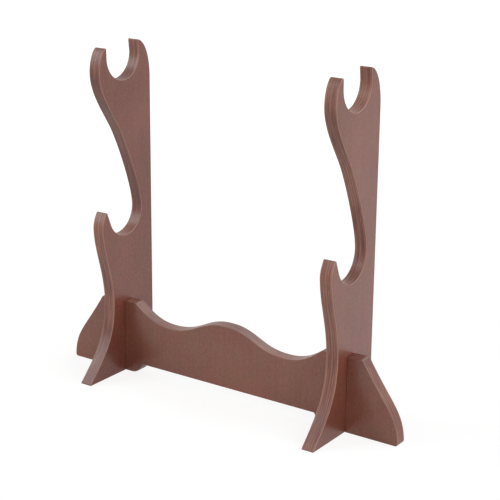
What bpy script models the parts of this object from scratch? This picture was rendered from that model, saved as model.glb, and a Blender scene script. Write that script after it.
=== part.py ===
"""Flute stand: two pronged plywood uprights that drop over a long cross board in cross-lap joints.

Metres, +Z up. X runs along the cross board, -Y is the front, and the stand rests on Z = 0, centred
on the origin. Outlines are drawn flat and extruded through the thickness of the board.
"""
import bmesh
import bpy
from math import ceil, cos, radians, sin, tan
from mathutils import Matrix, Vector
from mathutils.geometry import interpolate_bezier

# The sheet that all three boards are cut from
BOARD_THICKNESS = 0.0090
ARRIS_WIDTH = 0.0005
ARRIS_SEGMENTS = 2
TIP_RADIUS = 0.0008
BASE_CORNER_RADIUS = 0.0006

# Cross-lap joints
LAP_CLEARANCE = 0.0003
LAP_HEIGHT = 0.0287

# Cradles, placed by the centres of their arcs. The lap lies a little behind them.
LOWER_CRADLE_RADIUS = 0.0174
UPPER_CRADLE_RADIUS = 0.0170
LOWER_CRADLE_HEIGHT = 0.1189
CRADLE_PITCH = 0.1097
LAP_SETBACK = 0.0014

# Prongs of the upper cradle: wall beside the arc, rise of the tip over the centre, lean of the tip
FRONT_PRONG_WALL = 0.0079
FRONT_PRONG_RISE = 0.0069
FRONT_PRONG_LEAN = 0.0002
FRONT_BULGE_DROP = 0.0101
REAR_PRONG_WALL = 0.0118
REAR_PRONG_RISE = 0.0090
REAR_PRONG_LEAN = -0.0010
REAR_EASE_DROP = 0.0183

# Hook of the lower cradle
HOOK_WALL = 0.0075
HOOK_RISE = 0.0034
HOOK_BULGE_DROP = 0.0080
HOOK_FLARE_DEGREES = 22

# Front edge between the cradles turns over in the middle of its S
S_RISE = 0.0598
S_FORWARD = 0.0052

# Shin and front foot, measured forward from the cradles' centre line
WAIST_HEIGHT = 0.0547
WAIST_FORWARD = 0.01465
TOE_FORWARD = 0.0427

# Cross board, measured from the middle plane of an upright
UPRIGHT_SPACING = 0.1847
SHOULDER_HEIGHT = 0.0530
SHOULDER_OUTWARD = 0.0160
SHOULDER_INWARD = 0.0142
WING_REACH = 0.0436
WING_CORNER_RADIUS = 0.0020
SHOULDER_RADIUS = 0.0035
INNER_SHOULDER_RADIUS = 0.0015

# Wavy top edge and raised bottom edge between the uprights
DIP_INWARD = 0.0447
DIP_HEIGHT = 0.0405
HUMP_HEIGHT = 0.0525
UNDERSIDE_HEIGHT = 0.0076
LOBE_INWARD = 0.0196
LOBE_LENGTH = 0.0110

# Curves leave and arrive along a heading in degrees, with handles as shares of the chord
REAR_CROWN_HEADING = 167
REAR_CROWN_PULLS = (0.29, 0.36)
FRONT_CROWN_HEADING = 189
FRONT_CROWN_PULLS = (0.23, 0.43)
S_HEADING = -58
S_TOP_PULLS = (0.31, 0.31)
S_LOW_PULLS = (0.22, 0.20)
HOOK_CROWN_HEADING = 229
HOOK_CROWN_PULLS = (0.22, 0.33)
SHIN_PULLS = (0.30, 0.37)
TOE_HEADING = 226
FOOT_PULLS = (0.455, 0.37)
LOBE_HEADING = -65
LOBE_PULLS = (0.45, 0.45)
WING_HEADING = 92
WING_SLOPE_HEADING = 122
WING_PULLS = (0.35, 0.59)
SLOPE_HEADING = 217
SLOPE_PULLS = (0.37, 0.42)
HUMP_PULLS = (0.47, 0.44)

# Fineness: length of the straight steps along a curve, turn of each step round a corner, and the
# angle from which two faces meet in a hard edge
CURVE_STEP = 0.0025
FEWEST_CURVE_STEPS = 6
FEWEST_CORNER_STEPS = 3
CORNER_STEP_DEGREES = 15
HARD_EDGE_DEGREES = 25

# Stain on each board, as sRGB
LEFT_UPRIGHT_STAIN = "835E56"
RIGHT_UPRIGHT_STAIN = "8C6C65"
CROSS_BOARD_STAIN = "7E5C51"
SATIN_ROUGHNESS = 0.45


def heading(degrees):
    return Vector((cos(radians(degrees)), sin(radians(degrees))))


def curve_to(stroke, leave, end, arrive, pulls):
    """Carries the stroke on to end along one cubic curve."""
    start = stroke[-1]
    end = Vector(end)
    chord = (end - start).length
    near = start + heading(leave) * pulls[0] * chord
    far = end - heading(arrive) * pulls[1] * chord
    steps = max(FEWEST_CURVE_STEPS, ceil(chord / CURVE_STEP))
    stroke.extend(interpolate_bezier(start, near, far, end, steps + 1)[1:])


def arc_to(stroke, centre, radius, first, last):
    """Adds an arc round centre, between two angles in degrees."""
    steps = ceil(radius * radians(abs(last - first)) / CURVE_STEP)
    for step in range(steps + 1):
        angle = first + (last - first) * step / steps
        stroke.append(Vector(centre) + radius * heading(angle))


def trimmed(stroke, length):
    """The stroke without the given length at its start."""
    kept = [point.copy() for point in stroke]
    while len(kept) > 2 and (kept[1] - kept[0]).length < length:
        length -= (kept[1] - kept[0]).length
        kept.pop(0)
    step = kept[1] - kept[0]
    kept[0] += step.normalized() * min(length, 0.9 * step.length)
    return kept


def joined(strokes):
    """Joins (points, radius) strokes end to end, rounding the corner where each one starts."""
    paths = [points for points, radius in strokes]
    corners = []
    for index, (points, radius) in enumerate(strokes):
        corner = points[0]
        before = paths[index - 1]
        if radius == 0:
            corners.append([corner])
            continue
        turn = (corner - before[-2]).angle(points[1] - corner)
        setback = radius * tan(turn / 2)
        paths[index - 1] = trimmed(before[::-1], setback)[::-1]
        paths[index] = trimmed(paths[index], setback)
        start = paths[index - 1][-1]
        end = paths[index][0]
        handle = 4 / 3 * tan(turn / 4) * radius
        near = start + (corner - start).normalized() * handle
        far = end + (corner - end).normalized() * handle
        steps = max(FEWEST_CORNER_STEPS, ceil(turn / radians(CORNER_STEP_DEGREES)))
        corners.append(interpolate_bezier(start, near, far, end, steps + 1))
    outline = []
    for path, corner in zip(paths, corners):
        outline.extend(corner)
        outline.extend(path[1:-1])
    return outline


def lap_slot(floor, mouth):
    """Slot walls, drawn in the direction +Y: down from the mouth to the floor and back."""
    half = BOARD_THICKNESS / 2 + LAP_CLEARANCE
    return [Vector((-half, mouth)), Vector((-half, floor)), Vector((half, floor)), Vector((half, mouth))]


def upright_outline():
    """Outline in (y, z), counter-clockwise, with y measured from the lap's middle plane."""
    centre_y = -LAP_SETBACK
    low = Vector((centre_y, LOWER_CRADLE_HEIGHT))
    high = low + Vector((0, CRADLE_PITCH))
    back_y = centre_y + UPPER_CRADLE_RADIUS + REAR_PRONG_WALL
    rear_tip = high + Vector((UPPER_CRADLE_RADIUS + REAR_PRONG_LEAN, REAR_PRONG_RISE))
    front_tip = high + Vector((-UPPER_CRADLE_RADIUS - FRONT_PRONG_LEAN, FRONT_PRONG_RISE))
    front_bulge = high - Vector((UPPER_CRADLE_RADIUS + FRONT_PRONG_WALL, FRONT_BULGE_DROP))
    s_middle = low + Vector((-S_FORWARD, S_RISE))
    hook_bulge = low - Vector((LOWER_CRADLE_RADIUS + HOOK_WALL, HOOK_BULGE_DROP))
    waist = Vector((centre_y - WAIST_FORWARD, WAIST_HEIGHT))
    toe = Vector((centre_y - TOE_FORWARD, 0))

    back = [Vector((back_y, 0)), Vector((back_y, high.y - REAR_EASE_DROP))]
    curve_to(back, 90, rear_tip, REAR_CROWN_HEADING, REAR_CROWN_PULLS)

    upper_cradle = [rear_tip]
    arc_to(upper_cradle, high, UPPER_CRADLE_RADIUS, 0, -180)
    upper_cradle.append(front_tip)

    front = [front_tip]
    curve_to(front, FRONT_CROWN_HEADING, front_bulge, -90, FRONT_CROWN_PULLS)
    curve_to(front, -90, s_middle, S_HEADING, S_TOP_PULLS)
    curve_to(front, S_HEADING, low + Vector((LOWER_CRADLE_RADIUS, 0)), -90, S_LOW_PULLS)
    front.pop()
    flare = HOOK_FLARE_DEGREES - 180
    arc_to(front, low, LOWER_CRADLE_RADIUS, 0, flare)
    rise = low.y + HOOK_RISE - front[-1].y
    hook_tip = front[-1] + Vector((-rise * tan(radians(HOOK_FLARE_DEGREES)), rise))
    front.append(hook_tip)

    shin = [hook_tip]
    curve_to(shin, HOOK_CROWN_HEADING, hook_bulge, -90, HOOK_CROWN_PULLS)
    curve_to(shin, -90, waist, -90, SHIN_PULLS)
    curve_to(shin, -90, toe, TOE_HEADING, FOOT_PULLS)

    slot = lap_slot(LAP_HEIGHT + LAP_CLEARANCE / 2, 0)
    base = [toe] + slot + [back[0]]
    return joined([(back, 0), (upper_cradle, TIP_RADIUS), (front, TIP_RADIUS),
                   (shin, TIP_RADIUS), (base, BASE_CORNER_RADIUS)])


def cross_board_outline():
    """Outline in (x, z), counter-clockwise: the right half, and its mirror image."""
    upright_x = UPRIGHT_SPACING / 2
    end_x = upright_x + WING_REACH
    lobe_x = upright_x - LOBE_INWARD
    shoulder = Vector((upright_x + SHOULDER_OUTWARD, SHOULDER_HEIGHT))
    inner_shoulder = Vector((upright_x - SHOULDER_INWARD, SHOULDER_HEIGHT))
    dip = Vector((upright_x - DIP_INWARD, DIP_HEIGHT))

    underside = [Vector((0, UNDERSIDE_HEIGHT)), Vector((lobe_x, UNDERSIDE_HEIGHT))]
    curve_to(underside, LOBE_HEADING, (lobe_x + LOBE_LENGTH, 0), 0, LOBE_PULLS)
    underside.append(Vector((end_x, 0)))

    wing = [Vector((end_x, 0))]
    curve_to(wing, WING_HEADING, shoulder, WING_SLOPE_HEADING, WING_PULLS)

    slot = lap_slot(LAP_HEIGHT - LAP_CLEARANCE / 2, SHOULDER_HEIGHT)
    top = [shoulder] + [point + Vector((upright_x, 0)) for point in reversed(slot)] + [inner_shoulder]

    wave = [inner_shoulder]
    curve_to(wave, SLOPE_HEADING, dip, 180, SLOPE_PULLS)
    curve_to(wave, 180, (0, HUMP_HEIGHT), 180, HUMP_PULLS)

    right = joined([(underside, 0), (wing, WING_CORNER_RADIUS), (top, SHOULDER_RADIUS),
                    (wave, INNER_SHOULDER_RADIUS)])
    left = [Vector((-point.x, point.y)) for point in reversed(right[1:])]
    return right + [Vector((0, HUMP_HEIGHT))] + left


def stained_plywood(name, stain):
    """Satin brown stain, given as an sRGB hex value."""
    channels = [int(stain[i:i + 2], 16) / 255 for i in (0, 2, 4)]
    linear = [((c + 0.055) / 1.055) ** 2.4 if c > 0.04045 else c / 12.92 for c in channels]
    material = bpy.data.materials.new(name + "_stained_plywood")
    material.use_nodes = True
    shader = material.node_tree.nodes["Principled BSDF"]
    shader.inputs["Base Color"].default_value = (*linear, 1)
    shader.inputs["Roughness"].default_value = SATIN_ROUGHNESS
    shader.inputs["Metallic"].default_value = 0
    return material


def board(name, outline, plane, location, stain, parent):
    """Cuts one board: the outline stands in its plane and is extruded through the thickness."""
    bm = bmesh.new()
    face = bm.faces.new([bm.verts.new((point.x, point.y, 0)) for point in outline])
    extruded = bmesh.ops.extrude_face_region(bm, geom=[face])
    top_verts = [item for item in extruded["geom"] if isinstance(item, bmesh.types.BMVert)]
    bmesh.ops.translate(bm, verts=top_verts, vec=(0, 0, BOARD_THICKNESS))
    bmesh.ops.translate(bm, verts=bm.verts, vec=(0, 0, -BOARD_THICKNESS / 2))
    weight = bm.edges.layers.float.new("bevel_weight_edge")
    for edge in bm.edges:
        is_rim = abs(edge.verts[0].co.z - edge.verts[1].co.z) < BOARD_THICKNESS / 2
        edge[weight] = 1.0 if is_rim else 0.0
    bmesh.ops.transform(bm, verts=bm.verts, matrix=plane)
    bmesh.ops.recalc_face_normals(bm, faces=bm.faces)
    mesh = bpy.data.meshes.new(name)
    bm.to_mesh(mesh)
    bm.free()
    mesh.shade_smooth()
    mesh.set_sharp_from_angle(angle=radians(HARD_EDGE_DEGREES))
    mesh.materials.append(stained_plywood(name, stain))
    piece = bpy.data.objects.new(name, mesh)
    piece.location = location
    piece.parent = parent
    bpy.context.scene.collection.objects.link(piece)
    arris = piece.modifiers.new("arris", "BEVEL")
    arris.limit_method = "WEIGHT"
    arris.width = ARRIS_WIDTH
    arris.segments = ARRIS_SEGMENTS
    return piece


def main():
    for old in list(bpy.data.objects):
        bpy.data.objects.remove(old)
    stand = bpy.data.objects.new("stand", None)
    bpy.context.scene.collection.objects.link(stand)

    facing_x = Matrix(((0, 0, 1, 0), (1, 0, 0, 0), (0, 1, 0, 0), (0, 0, 0, 1)))
    facing_front = Matrix(((1, 0, 0, 0), (0, 0, -1, 0), (0, 1, 0, 0), (0, 0, 0, 1)))

    # The toe and the back edge lie equally far from the origin
    outline = upright_outline()
    reach = [point.x for point in outline]
    lap_y = -(min(reach) + max(reach)) / 2
    for name, side, stain in (("left_upright", -1, LEFT_UPRIGHT_STAIN),
                              ("right_upright", 1, RIGHT_UPRIGHT_STAIN)):
        place = (side * UPRIGHT_SPACING / 2, lap_y, 0)
        board(name, outline, facing_x, place, stain, stand)
    board("cross_board", cross_board_outline(), facing_front, (0, lap_y, 0), CROSS_BOARD_STAIN, stand)


main()
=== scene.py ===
"""Flute stand in brown stained plywood: the fine boards, their finish, the floor, the light and the camera.

Metres, +Z up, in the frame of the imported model. Each board is cut again from its node's own outline,
with smooth curves, eased arrises and the plies showing along its edges.
"""
import bmesh
import bpy
from math import ceil, cos, pi, radians, sin, tan
from mathutils import Matrix, Vector
from mathutils.geometry import interpolate_bezier


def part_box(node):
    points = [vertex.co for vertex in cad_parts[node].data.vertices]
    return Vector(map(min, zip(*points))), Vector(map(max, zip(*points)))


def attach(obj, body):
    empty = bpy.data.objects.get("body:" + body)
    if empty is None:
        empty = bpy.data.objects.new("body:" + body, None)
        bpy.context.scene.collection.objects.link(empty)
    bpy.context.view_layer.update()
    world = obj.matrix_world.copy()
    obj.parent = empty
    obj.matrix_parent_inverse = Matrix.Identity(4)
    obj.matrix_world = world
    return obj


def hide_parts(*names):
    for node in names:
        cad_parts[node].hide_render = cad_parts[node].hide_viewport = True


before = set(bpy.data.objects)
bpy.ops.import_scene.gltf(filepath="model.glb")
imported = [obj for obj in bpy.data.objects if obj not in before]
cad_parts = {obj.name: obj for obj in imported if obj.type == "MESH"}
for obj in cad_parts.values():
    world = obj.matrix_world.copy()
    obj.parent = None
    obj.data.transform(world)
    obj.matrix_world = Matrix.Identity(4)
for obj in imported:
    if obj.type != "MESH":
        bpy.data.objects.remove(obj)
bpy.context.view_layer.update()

UP = Vector((0, 0, 1))
MM_PER_M = 1000

# The boards: across is the axis through the thickness, 0 for X and 1 for Y. Each is cut from a sheet of
# its own and took the stain a little differently: 0 is the plain shade, and 1 a full shade paler or
# yellower. Wear and highlight tells how far the arrises are painted paler, for stain rubbed off them and
# for a painted highlight
# Edge paleness: between the uprights it differs as painted light on the right one, painted shade on the
# left
BOARDS = {
    "left_upright": {"across": 0, "sheet": 2, "paleness": -0.15, "yellowness": 0,
                     "edge_paleness_and_light": 0.55, "arris_wear_and_highlight": 1},
    "right_upright": {"across": 0, "sheet": 4, "paleness": 0, "yellowness": 0,
                      "edge_paleness_and_light": 0.8, "arris_wear_and_highlight": 1},
    "cross_board": {"across": 1, "sheet": 5, "paleness": 0.15, "yellowness": 0.4,
                    "edge_paleness_and_light": 0.7, "arris_wear_and_highlight": 0.3},
}

# The sheet: 9 mm plywood of five equal plies. They are drawn a hair thicker, so that a board's faces lie
# inside the face veneers
PLY = 0.0018
INSIDE_PLY = PLY * 1.002
GLUE_GROOVE = 0.00004
STEPS_PER_PLY = 8

# Arrises, sanded round. In a slot that another board fills they stay nearly sharp, as cut
ARRIS_RADIUS = 0.00045
ARRIS_STEPS = 5
SLOT_ARRIS_SHARE = 0.1
SLOT_MARGIN = 0.0005
SLOT_MOUTH = 0.0010

# Reading an outline: an edge runs through the board if it spans this share of the thickness, and turns
# off it by less than the slack
THROUGH_SHARE = 0.8
THROUGH_SLACK = 0.0000001
MERGE_DISTANCE = 0.00001

# Fairing it: points further apart than this lie on a straight run, and sharper turns are corners
LONGEST_CURVE_STEP = 0.0050
CORNER_DEGREES = 35
EASED_CORNER_RADIUS = 0.0008
CORNER_STEP_DEGREES = 15
FINE_STEP = 0.0006
STRAIGHT_STEP = 0.0040
FACE_MERGE_DISTANCE = 0.0000025

# How a board that is drawn flat stands up, by the axis through its thickness
STANDING = (Matrix(((0, 0, 1, 0), (1, 0, 0, 0), (0, 1, 0, 0), (0, 0, 0, 1))),
            Matrix(((1, 0, 0, 0), (0, 0, -1, 0), (0, 1, 0, 0), (0, 0, 0, 1))))

# Sizes of the wood's patterns. Birch fibres and pores are less than 0.1 mm wide, too fine to show, so
# fibres, streaks and pores are drawn coarser here. Fibres are some thirty times as long as wide
FIBRE_MM = 0.5
STREAK_MM = 1.4
PORE_MM = 0.95
PORE_SQUEEZE = 0.65
PATCH_MM = 12
CLOUD_MM = 50
GRAIN_SQUEEZE = 0.03
EDGE_LINE_WIDTH_MM = 0.5
EDGE_LINE_LENGTH_MM = 18
CORE_GAP_WIDTH_MM = 0.9
CORE_GAP_LENGTH_MM = 12

# Steps through the random fields from one ply or one sheet to the next
PLY_SHIFT = 37.3
CLOUD_SHIFT = 37
PATCH_SHIFT = 53
CORE_GAP_SHIFT = 11

# Nearly all of a random field lies between these
FIELD_LOW = 0.3
FIELD_HIGH = 0.7

# White table, which glows so that it shows white, and more so far off, where it meets the white room
TABLE_REACH = 3.0
NEAR_REACH = 0.3
FAR_REACH = 1.0
NEAR_GLOW = 0.85
FAR_GLOW = 1.0
MIRRORED_GLOW = 0.5
ROOM_LIGHT = 0.02

# Softboxes: place in metres from the origin, and power in watts. All face the middle of the stand
SOFTBOXES = {
    "left_softbox": ((-1.35, -0.8, 1.0), 16),
    "front_softbox": ((0.75, -1.65, 0.25), 9),
    "right_softbox": ((1.5, -0.4, 1.05), 9.5),
    "rear_right_softbox": ((1.3, 0.75, 1.1), 8.5),
    "rear_softbox": ((0, 1.25, 1.4), 7),
}
SOFTBOX_SIZE = 1.2
SOFTBOX_AIM = Vector((0, 0, 0.1))

# Camera, placed from the floor under the middle of the cross board's front face
CAMERA_OFFSET = Vector((0.5136, -0.7175, 0.3794))
CAMERA_AZIMUTH_DEGREES = 34.509
CAMERA_ELEVATION_DEGREES = 17.154
CAMERA_ROLL_DEGREES = 0.551
CAMERA_CLIP_START = 0.01
LENS_MM = 99.45
SENSOR_MM = 36


def linear(colour):
    """An sRGB hex value as linear red, green, blue and full alpha."""
    channels = [int(colour[i:i + 2], 16) / 255 for i in (0, 2, 4)]
    return (*[((c + 0.055) / 1.055) ** 2.4 if c > 0.04045 else c / 12.92 for c in channels], 1)


def add(tree, kind, inputs=(), **settings):
    """Adds a node with its settings, and fills or links its inputs, given in order or by name."""
    made = tree.nodes.new(kind)
    for name, value in settings.items():
        setattr(made, name, value)
    sockets = [socket for socket in made.inputs if socket.enabled]
    if isinstance(inputs, dict):
        pairs = [(next(s for s in sockets if s.name == name), value) for name, value in inputs.items()]
    else:
        pairs = zip(sockets, inputs)
    for socket, value in pairs:
        if isinstance(value, bpy.types.Node):
            value = next(output for output in value.outputs if output.enabled)
        if isinstance(value, bpy.types.NodeSocket):
            tree.links.new(value, socket)
        elif value is not None:
            socket.default_value = value
    return made


def rim_of(node, across):
    """Outline of a board in its own plane, read from its CAD node and running counter-clockwise.

    The edges that run straight through the thickness end on the outline."""
    low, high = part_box(node)
    wall = THROUGH_SHARE * (high[across] - low[across])
    mesh = bmesh.new()
    mesh.from_mesh(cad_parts[node].data)
    bmesh.ops.remove_doubles(mesh, verts=mesh.verts, dist=MERGE_DISTANCE)
    ends = set()
    for edge in mesh.edges:
        run = edge.verts[1].co - edge.verts[0].co
        if abs(run[across]) > wall and run.length - abs(run[across]) < THROUGH_SLACK:
            ends.add(max(edge.verts, key=lambda vert: vert.co[across]))
    first = min(ends, key=lambda vert: (round(vert.co.z, 5), vert.co.x, vert.co.y))
    walk = [first]
    while True:
        beside = [edge.other_vert(walk[-1]) for edge in walk[-1].link_edges]
        onward = [vert for vert in beside if vert in ends and vert not in walk[-2:]]
        if len(walk) > 2 and first in onward:
            break
        walk.append(onward[0])
    plane = [Vector((vert.co[1 - across], vert.co.z)) for vert in walk]
    mesh.free()
    area = sum(a.cross(b) for a, b in zip(plane, plane[1:] + plane[:1]))
    return plane if area > 0 else plane[::-1]


def through(before, here, after):
    """Heading at the middle one of three points on a circle."""
    inward = here - before
    outward = after - here
    return (inward.normalized() * outward.length + outward.normalized() * inward.length).normalized()


def faired(points):
    """A fine outline through the points: straight runs stay straight, the rest becomes smooth curves,
    and each square corner is eased by a small arc."""
    count = len(points)
    steps = [points[(i + 1) % count] - points[i] for i in range(count)]
    straight = [step.length > LONGEST_CURVE_STEP for step in steps]
    arrive, leave = [], []
    for i, point in enumerate(points):
        before, after = steps[i - 1], steps[i]
        if before.angle(after) > radians(CORNER_DEGREES):
            arriving, leaving = before.normalized(), after.normalized()
            setback = EASED_CORNER_RADIUS * tan(before.angle(after) / 2)
            arrive.append((point - arriving * setback, arriving))
            leave.append((point + leaving * setback, leaving))
            continue
        if straight[i - 1]:
            way = before.normalized()
        elif straight[i]:
            way = after.normalized()
        else:
            way = through(points[i - 1], point, points[(i + 1) % count])
        arrive.append((point, way))
        leave.append((point, way))

    outline = []
    for i in range(count):
        stop, go = arrive[i], leave[i]
        outline.append(stop[0])
        if (go[0] - stop[0]).length > 0:
            turn = stop[1].angle(go[1])
            outline.extend(bend(stop, go, ceil(turn / radians(CORNER_STEP_DEGREES))))
            outline.append(go[0])
        end = arrive[(i + 1) % count]
        step = STRAIGHT_STEP if straight[i] else FINE_STEP
        outline.extend(bend(go, end, ceil((end[0] - go[0]).length / step)))
    return outline


def bend(start, end, steps):
    """The points between two places with headings, along the curve that is nearest to an arc."""
    chord = (end[0] - start[0]).length
    handle = chord / (3 * cos(start[1].angle(end[1]) / 4) ** 2)
    near = start[0] + start[1] * handle
    far = end[0] - end[1] * handle
    return [Vector(p[:2]) for p in interpolate_bezier(start[0], near, far, end[0], steps + 1)[1:-1]]


def in_slot(spot, others):
    """True where a place on the board's outline lies inside another board, above the slot's mouth."""
    for low, high in others:
        sides = all(low[i] - SLOT_MARGIN < spot[i] < high[i] + SLOT_MARGIN for i in (0, 1))
        if sides and low.z + SLOT_MOUTH < spot.z < high.z + SLOT_MARGIN:
            return True
    return False


def board_tree():
    """Geometry Nodes: a flat outline becomes a board whose edge has rounded arrises and fine grooves
    at the glue lines. The points keep how far they are round the arris, for the finish."""
    tree = bpy.data.node_groups.new("plywood_board", "GeometryNodeTree")
    face = tree.interface
    face.new_socket("Outline", in_out="INPUT", socket_type="NodeSocketGeometry")
    for name in ("Thickness", "Arris Radius", "Ply", "Glue Groove"):
        face.new_socket(name, in_out="INPUT", socket_type="NodeSocketFloat")
    for name in ("Arris Steps", "Wall Steps"):
        face.new_socket(name, in_out="INPUT", socket_type="NodeSocketInt")
    face.new_socket("Finish", in_out="INPUT", socket_type="NodeSocketMaterial")
    face.new_socket("Board", in_out="OUTPUT", socket_type="NodeSocketGeometry")
    given = add(tree, "NodeGroupInput").outputs

    # The path keeps its place and which way is inward, the profile keeps the number of its point
    path = add(tree, "GeometryNodeMeshToCurve", [given["Outline"]])
    tangent = add(tree, "GeometryNodeInputTangent")
    inward = add(tree, "ShaderNodeVectorMath", [UP, tangent], operation="CROSS_PRODUCT")
    place = add(tree, "GeometryNodeInputPosition")
    for name, value in (("place", place), ("inward", inward)):
        path = add(tree, "GeometryNodeStoreNamedAttribute", {"Geometry": path, "Name": name,
                   "Value": value}, data_type="FLOAT_VECTOR")
    both = add(tree, "ShaderNodeMath", [given["Arris Steps"], 2, given["Wall Steps"]],
               operation="MULTIPLY_ADD")
    points = add(tree, "ShaderNodeMath", [both, 1], operation="ADD")
    line = add(tree, "GeometryNodeCurvePrimitiveLine", {"Start": (0, 0, 0), "End": (0, 1, 0)})
    line = add(tree, "GeometryNodeResampleCurve", {"Curve": line, "Count": points})
    index = add(tree, "GeometryNodeInputIndex")
    line = add(tree, "GeometryNodeStoreNamedAttribute", {"Geometry": line, "Name": "station",
               "Value": index}, data_type="FLOAT")
    band = add(tree, "GeometryNodeCurveToMesh", {"Curve": path, "Profile Curve": line})

    # Angles round the back arris and the front one, each from the face to the wall
    station = add(tree, "GeometryNodeInputNamedAttribute", ["station"], data_type="FLOAT")
    back = add(tree, "ShaderNodeMapRange", [station, 0, given["Arris Steps"], 0, pi / 2])
    front_start = add(tree, "ShaderNodeMath", [both, given["Arris Steps"]], operation="SUBTRACT")
    front = add(tree, "ShaderNodeMapRange", [station, both, front_start, 0, pi / 2])
    half = add(tree, "ShaderNodeMath", [given["Thickness"], 0.5], operation="MULTIPLY")
    arris_share = add(tree, "GeometryNodeInputNamedAttribute", ["arris_share"], data_type="FLOAT")
    radius = add(tree, "ShaderNodeMath", [given["Arris Radius"], arris_share], operation="MULTIPLY")
    wall = add(tree, "ShaderNodeMath", [half, radius], operation="SUBTRACT")
    low = add(tree, "ShaderNodeMath", [wall, -1], operation="MULTIPLY")
    height = add(tree, "ShaderNodeMapRange", [station, given["Arris Steps"], front_start, low, wall])
    sink = add(tree, "ShaderNodeMath", [radius, -1], operation="MULTIPLY")
    back_cos = add(tree, "ShaderNodeMath", [back], operation="COSINE")
    front_cos = add(tree, "ShaderNodeMath", [front], operation="COSINE")
    height = add(tree, "ShaderNodeMath", [back_cos, sink, height], operation="MULTIPLY_ADD")
    height = add(tree, "ShaderNodeMath", [front_cos, radius, height], operation="MULTIPLY_ADD")

    # Inset: round the arrises, and into the glue lines, which lie half a ply off each ply's middle
    back_sin = add(tree, "ShaderNodeMath", [back], operation="SINE")
    front_sin = add(tree, "ShaderNodeMath", [front], operation="SINE")
    inset = add(tree, "ShaderNodeMath", [back_sin, front_sin], operation="ADD")
    inset = add(tree, "ShaderNodeMath", [2, inset], operation="SUBTRACT")
    plies = add(tree, "ShaderNodeMath", [height, given["Ply"]], operation="DIVIDE")
    share = add(tree, "ShaderNodeMath", [plies], operation="FRACT")
    off_line = add(tree, "ShaderNodeMath", [share, 0.5], operation="SUBTRACT")
    off_line = add(tree, "ShaderNodeMath", [off_line], operation="ABSOLUTE")
    groove = add(tree, "ShaderNodeMapRange", [off_line, 0, 1 / STEPS_PER_PLY, given["Glue Groove"], 0])
    inset = add(tree, "ShaderNodeMath", [inset, radius, groove], operation="MULTIPLY_ADD")
    place = add(tree, "GeometryNodeInputNamedAttribute", ["place"], data_type="FLOAT_VECTOR")
    inward = add(tree, "GeometryNodeInputNamedAttribute", ["inward"], data_type="FLOAT_VECTOR")
    inward = add(tree, "ShaderNodeVectorMath", {"Vector": inward, "Scale": inset}, operation="SCALE")
    rise = add(tree, "ShaderNodeCombineXYZ", [0, 0, height])
    moved = add(tree, "ShaderNodeVectorMath", [place, inward], operation="ADD")
    moved = add(tree, "ShaderNodeVectorMath", [moved, rise], operation="ADD")
    band = add(tree, "GeometryNodeSetPosition", {"Geometry": band, "Position": moved})

    # For the finish: edge rises from 0 on the faces to 1 on the wall, arris peaks half way round
    edge = add(tree, "ShaderNodeMath", [back, front], operation="MULTIPLY")
    edge = add(tree, "ShaderNodeMath", [edge, (pi / 2) ** 2], operation="DIVIDE")
    back_peak = add(tree, "ShaderNodeMath", [back_sin, back_cos], operation="MULTIPLY")
    front_peak = add(tree, "ShaderNodeMath", [front_sin, front_cos], operation="MULTIPLY")
    arris = add(tree, "ShaderNodeMath", [back_peak, front_peak], operation="ADD")
    arris = add(tree, "ShaderNodeMath", [arris, 2], operation="MULTIPLY")
    arris = add(tree, "ShaderNodeMath", [arris, arris_share], operation="MULTIPLY")
    for name, value in (("edge", edge), ("arris", arris)):
        band = add(tree, "GeometryNodeStoreNamedAttribute", {"Geometry": band, "Name": name,
                   "Value": value}, data_type="FLOAT")

    # Faces: the rim that lies in front, filled once for each side
    neighbours = add(tree, "GeometryNodeInputMeshEdgeNeighbors")
    is_rim = add(tree, "FunctionNodeCompare", {"A": neighbours, "B": 1}, data_type="INT", operation="EQUAL")
    here = add(tree, "ShaderNodeSeparateXYZ", [add(tree, "GeometryNodeInputPosition")])
    is_front = add(tree, "FunctionNodeCompare", {"A": here.outputs["Z"], "B": 0.0}, data_type="FLOAT",
                   operation="GREATER_THAN")
    chosen = add(tree, "FunctionNodeBooleanMath", [is_rim, is_front], operation="AND")
    rim = add(tree, "GeometryNodeMeshToCurve", [band, chosen])
    flat = add(tree, "GeometryNodeFillCurve", {"Curve": rim}, mode="TRIANGLES")
    up = add(tree, "ShaderNodeCombineXYZ", [0, 0, half])
    down = add(tree, "ShaderNodeVectorMath", [up, (-1, -1, -1)], operation="MULTIPLY")
    top = add(tree, "GeometryNodeSetPosition", {"Geometry": flat, "Offset": up})
    base = add(tree, "GeometryNodeSetPosition", {"Geometry": flat, "Offset": down})
    base = add(tree, "GeometryNodeFlipFaces", [base])
    band = add(tree, "GeometryNodeSetShadeSmooth", {"Geometry": band, "Shade Smooth": True})
    faces = add(tree, "GeometryNodeJoinGeometry", [top])
    tree.links.new(base.outputs[0], faces.inputs[0])
    faces = add(tree, "GeometryNodeSetShadeSmooth", {"Geometry": faces, "Shade Smooth": False})
    board = add(tree, "GeometryNodeJoinGeometry", [band])
    tree.links.new(faces.outputs[0], board.inputs[0])
    board = add(tree, "GeometryNodeMergeByDistance", {"Geometry": board, "Distance": FACE_MERGE_DISTANCE})
    board = add(tree, "GeometryNodeRealizeInstances", [board])
    board = add(tree, "GeometryNodeSetMaterial", {"Geometry": board, "Material": given["Finish"]})
    add(tree, "NodeGroupOutput", [board])
    return tree


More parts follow.
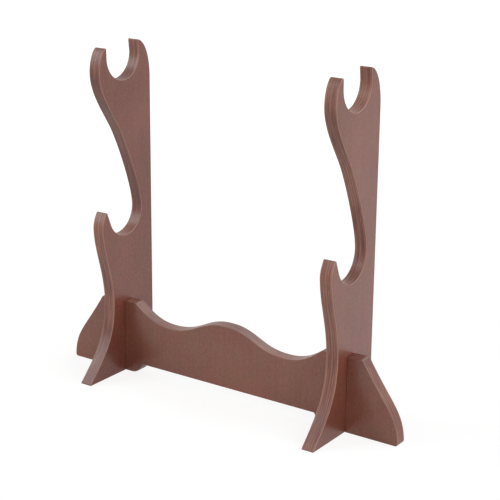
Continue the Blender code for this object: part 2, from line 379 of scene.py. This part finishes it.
def cut_board(node, across, finish, tree):
    """Makes a board at its CAD node's place, and lets it stand for that node."""
    low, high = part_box(node)
    thickness = high[across] - low[across]
    outline = faired(rim_of(node, across))
    flat = bpy.data.meshes.new(node + "_outline")
    count = len(outline)
    flat.from_pydata([(*point, 0) for point in outline], [(i, (i + 1) % count) for i in range(count)], [])
    middle = (low + high) / 2
    others = [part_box(other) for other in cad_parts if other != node]
    shares = flat.attributes.new("arris_share", "FLOAT", "POINT")
    for share, point in zip(shares.data, outline):
        spot = Vector((middle.x, middle.y, point.y))
        spot[1 - across] = point.x
        share.value = SLOT_ARRIS_SHARE if in_slot(spot, others) else 1
    cutter = bpy.data.objects.new(node + "_outline", flat)
    bpy.context.scene.collection.objects.link(cutter)

    modifier = cutter.modifiers.new("board", "NODES")
    modifier.node_group = tree
    wall_steps = round((thickness - 2 * ARRIS_RADIUS) / PLY * STEPS_PER_PLY)
    sizes = {"Thickness": thickness, "Arris Radius": ARRIS_RADIUS, "Ply": PLY, "Glue Groove": GLUE_GROOVE,
             "Arris Steps": ARRIS_STEPS, "Wall Steps": wall_steps, "Finish": finish}
    for socket in tree.interface.items_tree:
        if socket.name in sizes:
            modifier[socket.identifier] = sizes[socket.name]
    graph = bpy.context.evaluated_depsgraph_get()
    mesh = bpy.data.meshes.new_from_object(cutter.evaluated_get(graph), depsgraph=graph)
    bpy.data.objects.remove(cutter)

    offset = Vector((0, 0, 0))
    offset[across] = middle[across]
    mesh.transform(Matrix.Translation(offset) @ STANDING[across])
    mesh.name = node + "_board"
    board = bpy.data.objects.new(node + "_board", mesh)
    bpy.context.scene.collection.objects.link(board)
    tidy = bmesh.new()
    tidy.from_mesh(mesh)
    bmesh.ops.recalc_face_normals(tidy, faces=tidy.faces)
    tidy.to_mesh(mesh)
    tidy.free()
    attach(board, node)
    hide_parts(node)


def stained_plywood(node, middle, across, sheet, paleness, yellowness, edge_paleness_and_light, arris_wear_and_highlight):
    """Birch plywood with a brown spirit stain under a satin lacquer, IOR about 1.5, roughness about 0.3.

    To the eye it is a flat, slightly pink brown with a fine upright grain, faint cloudy patches and here
    and there a yellower tinge. Along the edges the plies show as stripes: those whose fibres end there
    drink more stain and go darker, the glue lines stay as thin dark lines, and a crosswise ply has a few
    dark slits where its core has gaps. How pale the edges are is set for each board, partly as painted
    light.
    Sanding left little stain on the arrises, and a painted highlight is added there, so that a paler line
    frames each face. The lacquer lays a white haze over all of it, less on the edges, which soak it up
    and stay duller."""
    material = bpy.data.materials.new(node + "_stained_plywood")
    material.use_nodes = True
    tree = material.node_tree
    shader = tree.nodes["Principled BSDF"]
    stain = linear("7E4337")
    yellow_stain = linear("7A4736")
    pale_stain = linear("925245")
    pale_yellow_stain = linear("8E5743")
    end_stain = linear("6A362B")
    pale_end = linear("A6705C")
    glue_line = linear("54281F")
    core_gap = linear("2E1512")
    # Arris colour: stain rubbed off, and a painted highlight
    worn_and_highlit_arris = linear("B68C7A")

    # Board coordinates in millimetres: X through the plies, Y along the board, Z up. Plies count from
    # the core, which is 0, and the odd ones have their fibres lying crosswise
    source = add(tree, "ShaderNodeTexCoord")
    if across == 0:
        turn, centre = 0, -middle * MM_PER_M
        side = Vector((0, 1, 0))
    else:
        turn, centre = pi / 2, middle * MM_PER_M
        side = Vector((1, 0, 0))
    mm = add(tree, "ShaderNodeMapping", {"Vector": source.outputs["Object"], "Location": (centre, 0, 0),
             "Rotation": (0, 0, turn), "Scale": (MM_PER_M,) * 3})
    depth = add(tree, "ShaderNodeSeparateXYZ", [mm])
    depth = add(tree, "ShaderNodeMath", [depth.outputs["X"], INSIDE_PLY * MM_PER_M], operation="DIVIDE")
    ply = add(tree, "ShaderNodeMath", [depth], operation="ROUND")
    crosswise = add(tree, "ShaderNodeMath", [ply, 1], operation="PINGPONG")

    # Each ply has its own stretch of grain, which runs up in the face veneers and the core
    stretch = add(tree, "ShaderNodeMix", {"Factor": crosswise, "A": (1, 1, GRAIN_SQUEEZE),
                  "B": (1, GRAIN_SQUEEZE, 1)}, data_type="VECTOR")
    grain_place = add(tree, "ShaderNodeVectorMath", [mm, stretch], operation="MULTIPLY")
    shift = add(tree, "ShaderNodeMath", [ply, PLY_SHIFT, sheet], operation="MULTIPLY_ADD")
    grain_place = add(tree, "ShaderNodeVectorMath", [grain_place, shift], operation="ADD")
    fibres = add(tree, "ShaderNodeTexNoise", {"Vector": grain_place, "Scale": 1 / FIBRE_MM, "Detail": 3,
                 "Roughness": 0.6})
    streaks = add(tree, "ShaderNodeTexNoise", {"Vector": grain_place, "Scale": 1 / STREAK_MM, "Detail": 2,
                  "Roughness": 0.5})
    clouds = add(tree, "ShaderNodeTexNoise", {"Vector": mm, "W": sheet * CLOUD_SHIFT, "Scale": 1 / CLOUD_MM,
                 "Detail": 2}, noise_dimensions="4D")
    short = add(tree, "ShaderNodeVectorMath", [mm, (1, 1, PORE_SQUEEZE)], operation="MULTIPLY")
    pores = add(tree, "ShaderNodeTexNoise", {"Vector": short, "Scale": 1 / PORE_MM, "Detail": 0,
                "Distortion": 0.5})

    # Faces: the three together set the tone, and patches set how yellow it is
    streak_strength, pore_strength = 0.1, 0.8
    deepest_tone, palest_tone = 0.65, 1.15
    tone = add(tree, "ShaderNodeMapRange", [streaks, FIELD_LOW, FIELD_HIGH, -streak_strength,
               streak_strength])
    tone = add(tree, "ShaderNodeMath", [clouds, tone], operation="ADD")
    tone = add(tree, "ShaderNodeMath", [pores, pore_strength, tone], operation="MULTIPLY_ADD")
    tone = add(tree, "ShaderNodeMapRange", [tone, deepest_tone, palest_tone, paleness, paleness + 1],
               clamp=False)
    patches = add(tree, "ShaderNodeTexNoise", {"Vector": mm, "W": sheet * PATCH_SHIFT,
                  "Scale": 1 / PATCH_MM, "Detail": 1}, noise_dimensions="4D")
    patch_start, patch_full = 0.35, 0.65
    patches = add(tree, "ShaderNodeMapRange", [patches, patch_start, patch_full, yellowness,
                  yellowness + 1])
    deep = add(tree, "ShaderNodeMix", {"Factor": patches, "A": stain, "B": yellow_stain}, data_type="RGBA",
               clamp_factor=False)
    pale = add(tree, "ShaderNodeMix", {"Factor": patches, "A": pale_stain, "B": pale_yellow_stain},
               data_type="RGBA", clamp_factor=False)
    colour = add(tree, "ShaderNodeMix", {"Factor": tone, "A": deep.outputs[2], "B": pale.outputs[2]},
                 data_type="RGBA", clamp_factor=False)

    # Cut edges: how squarely the fibres end there, and the lines that they leave along the edge. How pale
    # they are is set for each board: the spread between the uprights is painted light and painted shade
    edge = add(tree, "ShaderNodeAttribute", attribute_name="edge").outputs["Fac"]
    along = add(tree, "ShaderNodeMix", {"Factor": crosswise, "A": UP, "B": side}, data_type="VECTOR")
    end_grain = add(tree, "ShaderNodeVectorMath", [source.outputs["Normal"], along],
                    operation="DOT_PRODUCT")
    end_grain = add(tree, "ShaderNodeMath", [end_grain.outputs["Value"]], operation="ABSOLUTE")
    thin = (1 / EDGE_LINE_WIDTH_MM, 1 / EDGE_LINE_LENGTH_MM, 1 / EDGE_LINE_LENGTH_MM)
    lines = add(tree, "ShaderNodeVectorMath", [mm, thin], operation="MULTIPLY")
    lines = add(tree, "ShaderNodeTexNoise", {"Vector": lines, "W": sheet, "Scale": 1, "Detail": 2,
                "Roughness": 0.6}, noise_dimensions="4D")
    lines = add(tree, "ShaderNodeMath", [lines, clouds], operation="ADD")
    swing, end_grain_drinks = 1.2, 0.3
    lines = add(tree, "ShaderNodeMapRange", [lines, 2 * FIELD_LOW, 2 * FIELD_HIGH, edge_paleness_and_light - swing,
                edge_paleness_and_light + swing])
    drained = add(tree, "ShaderNodeMath", [end_grain, -end_grain_drinks, lines], operation="MULTIPLY_ADD",
                  use_clamp=True)
    cut = add(tree, "ShaderNodeMix", {"Factor": drained, "A": end_stain, "B": pale_end}, data_type="RGBA")
    colour = add(tree, "ShaderNodeMix", {"Factor": edge, "A": colour, "B": cut.outputs[2]},
                 data_type="RGBA")

    # Glue lines, by how far off one a point is as a share of a ply. They show most on level edges
    share = add(tree, "ShaderNodeMath", [depth], operation="FRACT")
    off_line = add(tree, "ShaderNodeMath", [share, 0.5], operation="SUBTRACT")
    off_line = add(tree, "ShaderNodeMath", [off_line], operation="ABSOLUTE")
    upward = add(tree, "ShaderNodeVectorMath", [source.outputs["Normal"], UP], operation="DOT_PRODUCT")
    upward = add(tree, "ShaderNodeMath", [upward.outputs["Value"]], operation="ABSOLUTE")
    upright_glue, level_glue, nearly_level = 0.45, 0.95, 0.8
    line_core, line_rim = 0.05, 0.17
    glue = add(tree, "ShaderNodeMapRange", [upward, 0, nearly_level, upright_glue, level_glue])
    glue = add(tree, "ShaderNodeMapRange", [off_line, line_core, line_rim, glue, 0])
    glue = add(tree, "ShaderNodeMath", [glue, edge], operation="MULTIPLY")
    colour = add(tree, "ShaderNodeMix", {"Factor": glue, "A": colour, "B": glue_line}, data_type="RGBA")

    # Core gaps, only where their field peaks, and arrises paler for worn stain and a painted highlight
    narrow = (1 / CORE_GAP_WIDTH_MM, 1 / CORE_GAP_LENGTH_MM, 1 / CORE_GAP_LENGTH_MM)
    slit = add(tree, "ShaderNodeVectorMath", [mm, narrow], operation="MULTIPLY")
    slit = add(tree, "ShaderNodeTexNoise", {"Vector": slit, "W": sheet * CORE_GAP_SHIFT, "Scale": 1,
               "Detail": 0}, noise_dimensions="4D")
    gap_start, gap_full, gap_darkness = 0.72, 0.78, 0.8
    slit = add(tree, "ShaderNodeMapRange", [slit, gap_start, gap_full, 0, gap_darkness])
    slit = add(tree, "ShaderNodeMath", [slit, crosswise], operation="MULTIPLY")
    slit = add(tree, "ShaderNodeMath", [slit, edge], operation="MULTIPLY")
    colour = add(tree, "ShaderNodeMix", {"Factor": slit, "A": colour, "B": core_gap}, data_type="RGBA")
    arris = add(tree, "ShaderNodeAttribute", attribute_name="arris").outputs["Fac"]
    worn_and_highlit = add(tree, "ShaderNodeMath", [arris, arris_wear_and_highlight], operation="MULTIPLY")
    colour = add(tree, "ShaderNodeMix", {"Factor": worn_and_highlit, "A": colour, "B": worn_and_highlit_arris}, data_type="RGBA")
    tree.links.new(colour.outputs[2], shader.inputs["Base Color"])

    # Lacquer: satin on the faces, soaked up and duller on the edges, uneven over the fibres
    face_roughness, edge_adds, fibres_add = 0.3, 0.11, 0.1
    face_coat, edge_coat = 0.24, 0.2
    fibre_height = 0.00001
    smoothest = add(tree, "ShaderNodeMath", [edge, edge_adds, face_roughness], operation="MULTIPLY_ADD")
    roughest = add(tree, "ShaderNodeMath", [smoothest, fibres_add], operation="ADD")
    roughness = add(tree, "ShaderNodeMapRange", [fibres, FIELD_LOW, FIELD_HIGH, smoothest, roughest])
    tree.links.new(roughness.outputs[0], shader.inputs["Roughness"])
    shader.inputs["IOR"].default_value = 1.5
    coat = add(tree, "ShaderNodeMapRange", [edge, 0, 1, face_coat, edge_coat])
    tree.links.new(coat.outputs[0], shader.inputs["Coat Weight"])
    shader.inputs["Coat Roughness"].default_value = 0.2
    bump = add(tree, "ShaderNodeBump", {"Strength": 1, "Distance": fibre_height, "Height": fibres})
    tree.links.new(bump.outputs[0], shader.inputs["Normal"])
    return material


def white_floor():
    """Matt white table that fades into the white behind it and keeps the stand's soft shadow."""
    material = bpy.data.materials.new("matt_white_table")
    material.use_nodes = True
    tree = material.node_tree
    tree.nodes.remove(tree.nodes["Principled BSDF"])
    ray = add(tree, "ShaderNodeLightPath")
    looked_at = ray.outputs["Is Camera Ray"]
    mirrored = ray.outputs["Is Glossy Ray"]
    direct = add(tree, "ShaderNodeMath", [looked_at, mirrored], operation="MAXIMUM")
    bouncing_white, mirrored_white, looked_at_white = linear("C8C8C8"), linear("F0F0F0"), linear("8C8C8C")
    white = add(tree, "ShaderNodeMix", {"Factor": mirrored, "A": bouncing_white, "B": mirrored_white},
                data_type="RGBA")
    white = add(tree, "ShaderNodeMix", {"Factor": looked_at, "A": white.outputs[2], "B": looked_at_white},
                data_type="RGBA")
    lit = add(tree, "ShaderNodeBsdfDiffuse", {"Color": white.outputs[2]})
    source = add(tree, "ShaderNodeTexCoord")
    away = add(tree, "ShaderNodeVectorMath", [source.outputs["Object"]], operation="LENGTH")
    fade = add(tree, "ShaderNodeMapRange", [away.outputs["Value"], NEAR_REACH, FAR_REACH, NEAR_GLOW,
               FAR_GLOW])
    strength = add(tree, "ShaderNodeMix", {"Factor": mirrored, "A": fade, "B": MIRRORED_GLOW})
    glow = add(tree, "ShaderNodeEmission", {"Color": (1, 1, 1, 1), "Strength": strength})
    seen = add(tree, "ShaderNodeAddShader", [lit, glow])
    mixed = add(tree, "ShaderNodeMixShader", [direct, lit, seen])
    tree.links.new(mixed.outputs[0], tree.nodes["Material Output"].inputs["Surface"])
    mesh = bpy.data.meshes.new("table")
    corners = [(x * TABLE_REACH, y * TABLE_REACH, 0) for x, y in ((-1, -1), (1, -1), (1, 1), (-1, 1))]
    mesh.from_pydata(corners, [], [(0, 1, 2, 3)])
    mesh.materials.append(material)
    table = bpy.data.objects.new("table", mesh)
    bpy.context.scene.collection.objects.link(table)


def white_room():
    """World: white where it is seen or mirrored, and a plain soft light on the object."""
    world = bpy.data.worlds.new("white_room")
    bpy.context.scene.world = world
    world.use_nodes = True
    tree = world.node_tree
    soft = tree.nodes["Background"]
    soft.inputs["Color"].default_value = (1, 1, 1, 1)
    soft.inputs["Strength"].default_value = ROOM_LIGHT
    seen = add(tree, "ShaderNodeBackground", {"Color": (1, 1, 1, 1), "Strength": 1})
    ray = add(tree, "ShaderNodeLightPath")
    direct = add(tree, "ShaderNodeMath", [ray.outputs["Is Camera Ray"], ray.outputs["Is Glossy Ray"]],
                 operation="MAXIMUM")
    direct = add(tree, "ShaderNodeMath", [direct, ray.outputs["Is Transmission Ray"]], operation="MAXIMUM")
    mixed = add(tree, "ShaderNodeMixShader", [direct, soft, seen])
    tree.links.new(mixed.outputs[0], tree.nodes["World Output"].inputs["Surface"])


def softbox(name, place, power):
    """A square studio lamp that faces the stand."""
    lamp = bpy.data.lights.new(name, "AREA")
    lamp.shape = "SQUARE"
    lamp.size = SOFTBOX_SIZE
    lamp.energy = power
    holder = bpy.data.objects.new(name, lamp)
    holder.location = place
    holder.rotation_euler = (Vector(place) - SOFTBOX_AIM).to_track_quat("Z", "Y").to_euler()
    bpy.context.scene.collection.objects.link(holder)


def photograph_camera():
    """The photograph's view, from the front and the right, a little above the stand."""
    azimuth, elevation = radians(CAMERA_AZIMUTH_DEGREES), radians(CAMERA_ELEVATION_DEGREES)
    forward = Vector((-sin(azimuth) * cos(elevation), cos(azimuth) * cos(elevation), -sin(elevation)))
    roll = Matrix.Rotation(radians(CAMERA_ROLL_DEGREES), 4, "Z")
    camera = bpy.data.cameras.new("camera")
    camera.sensor_width = SENSOR_MM
    camera.lens = LENS_MM
    camera.clip_start = CAMERA_CLIP_START
    holder = bpy.data.objects.new("camera", camera)
    front_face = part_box("cross_board")[0].y
    turn = forward.to_track_quat("-Z", "Y").to_matrix().to_4x4()
    holder.matrix_world = Matrix.Translation(Vector((0, front_face, 0)) + CAMERA_OFFSET) @ turn @ roll
    bpy.context.scene.collection.objects.link(holder)
    bpy.context.scene.camera = holder


plywood_board = board_tree()
for node, board in BOARDS.items():
    low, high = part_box(node)
    middle = (low[board["across"]] + high[board["across"]]) / 2
    finish = stained_plywood(node, middle, **board)
    cut_board(node, board["across"], finish, plywood_board)

white_floor()
white_room()
for name, (place, power) in SOFTBOXES.items():
    softbox(name, place, power)
photograph_camera()
bpy.context.scene.view_settings.view_transform = "Standard"
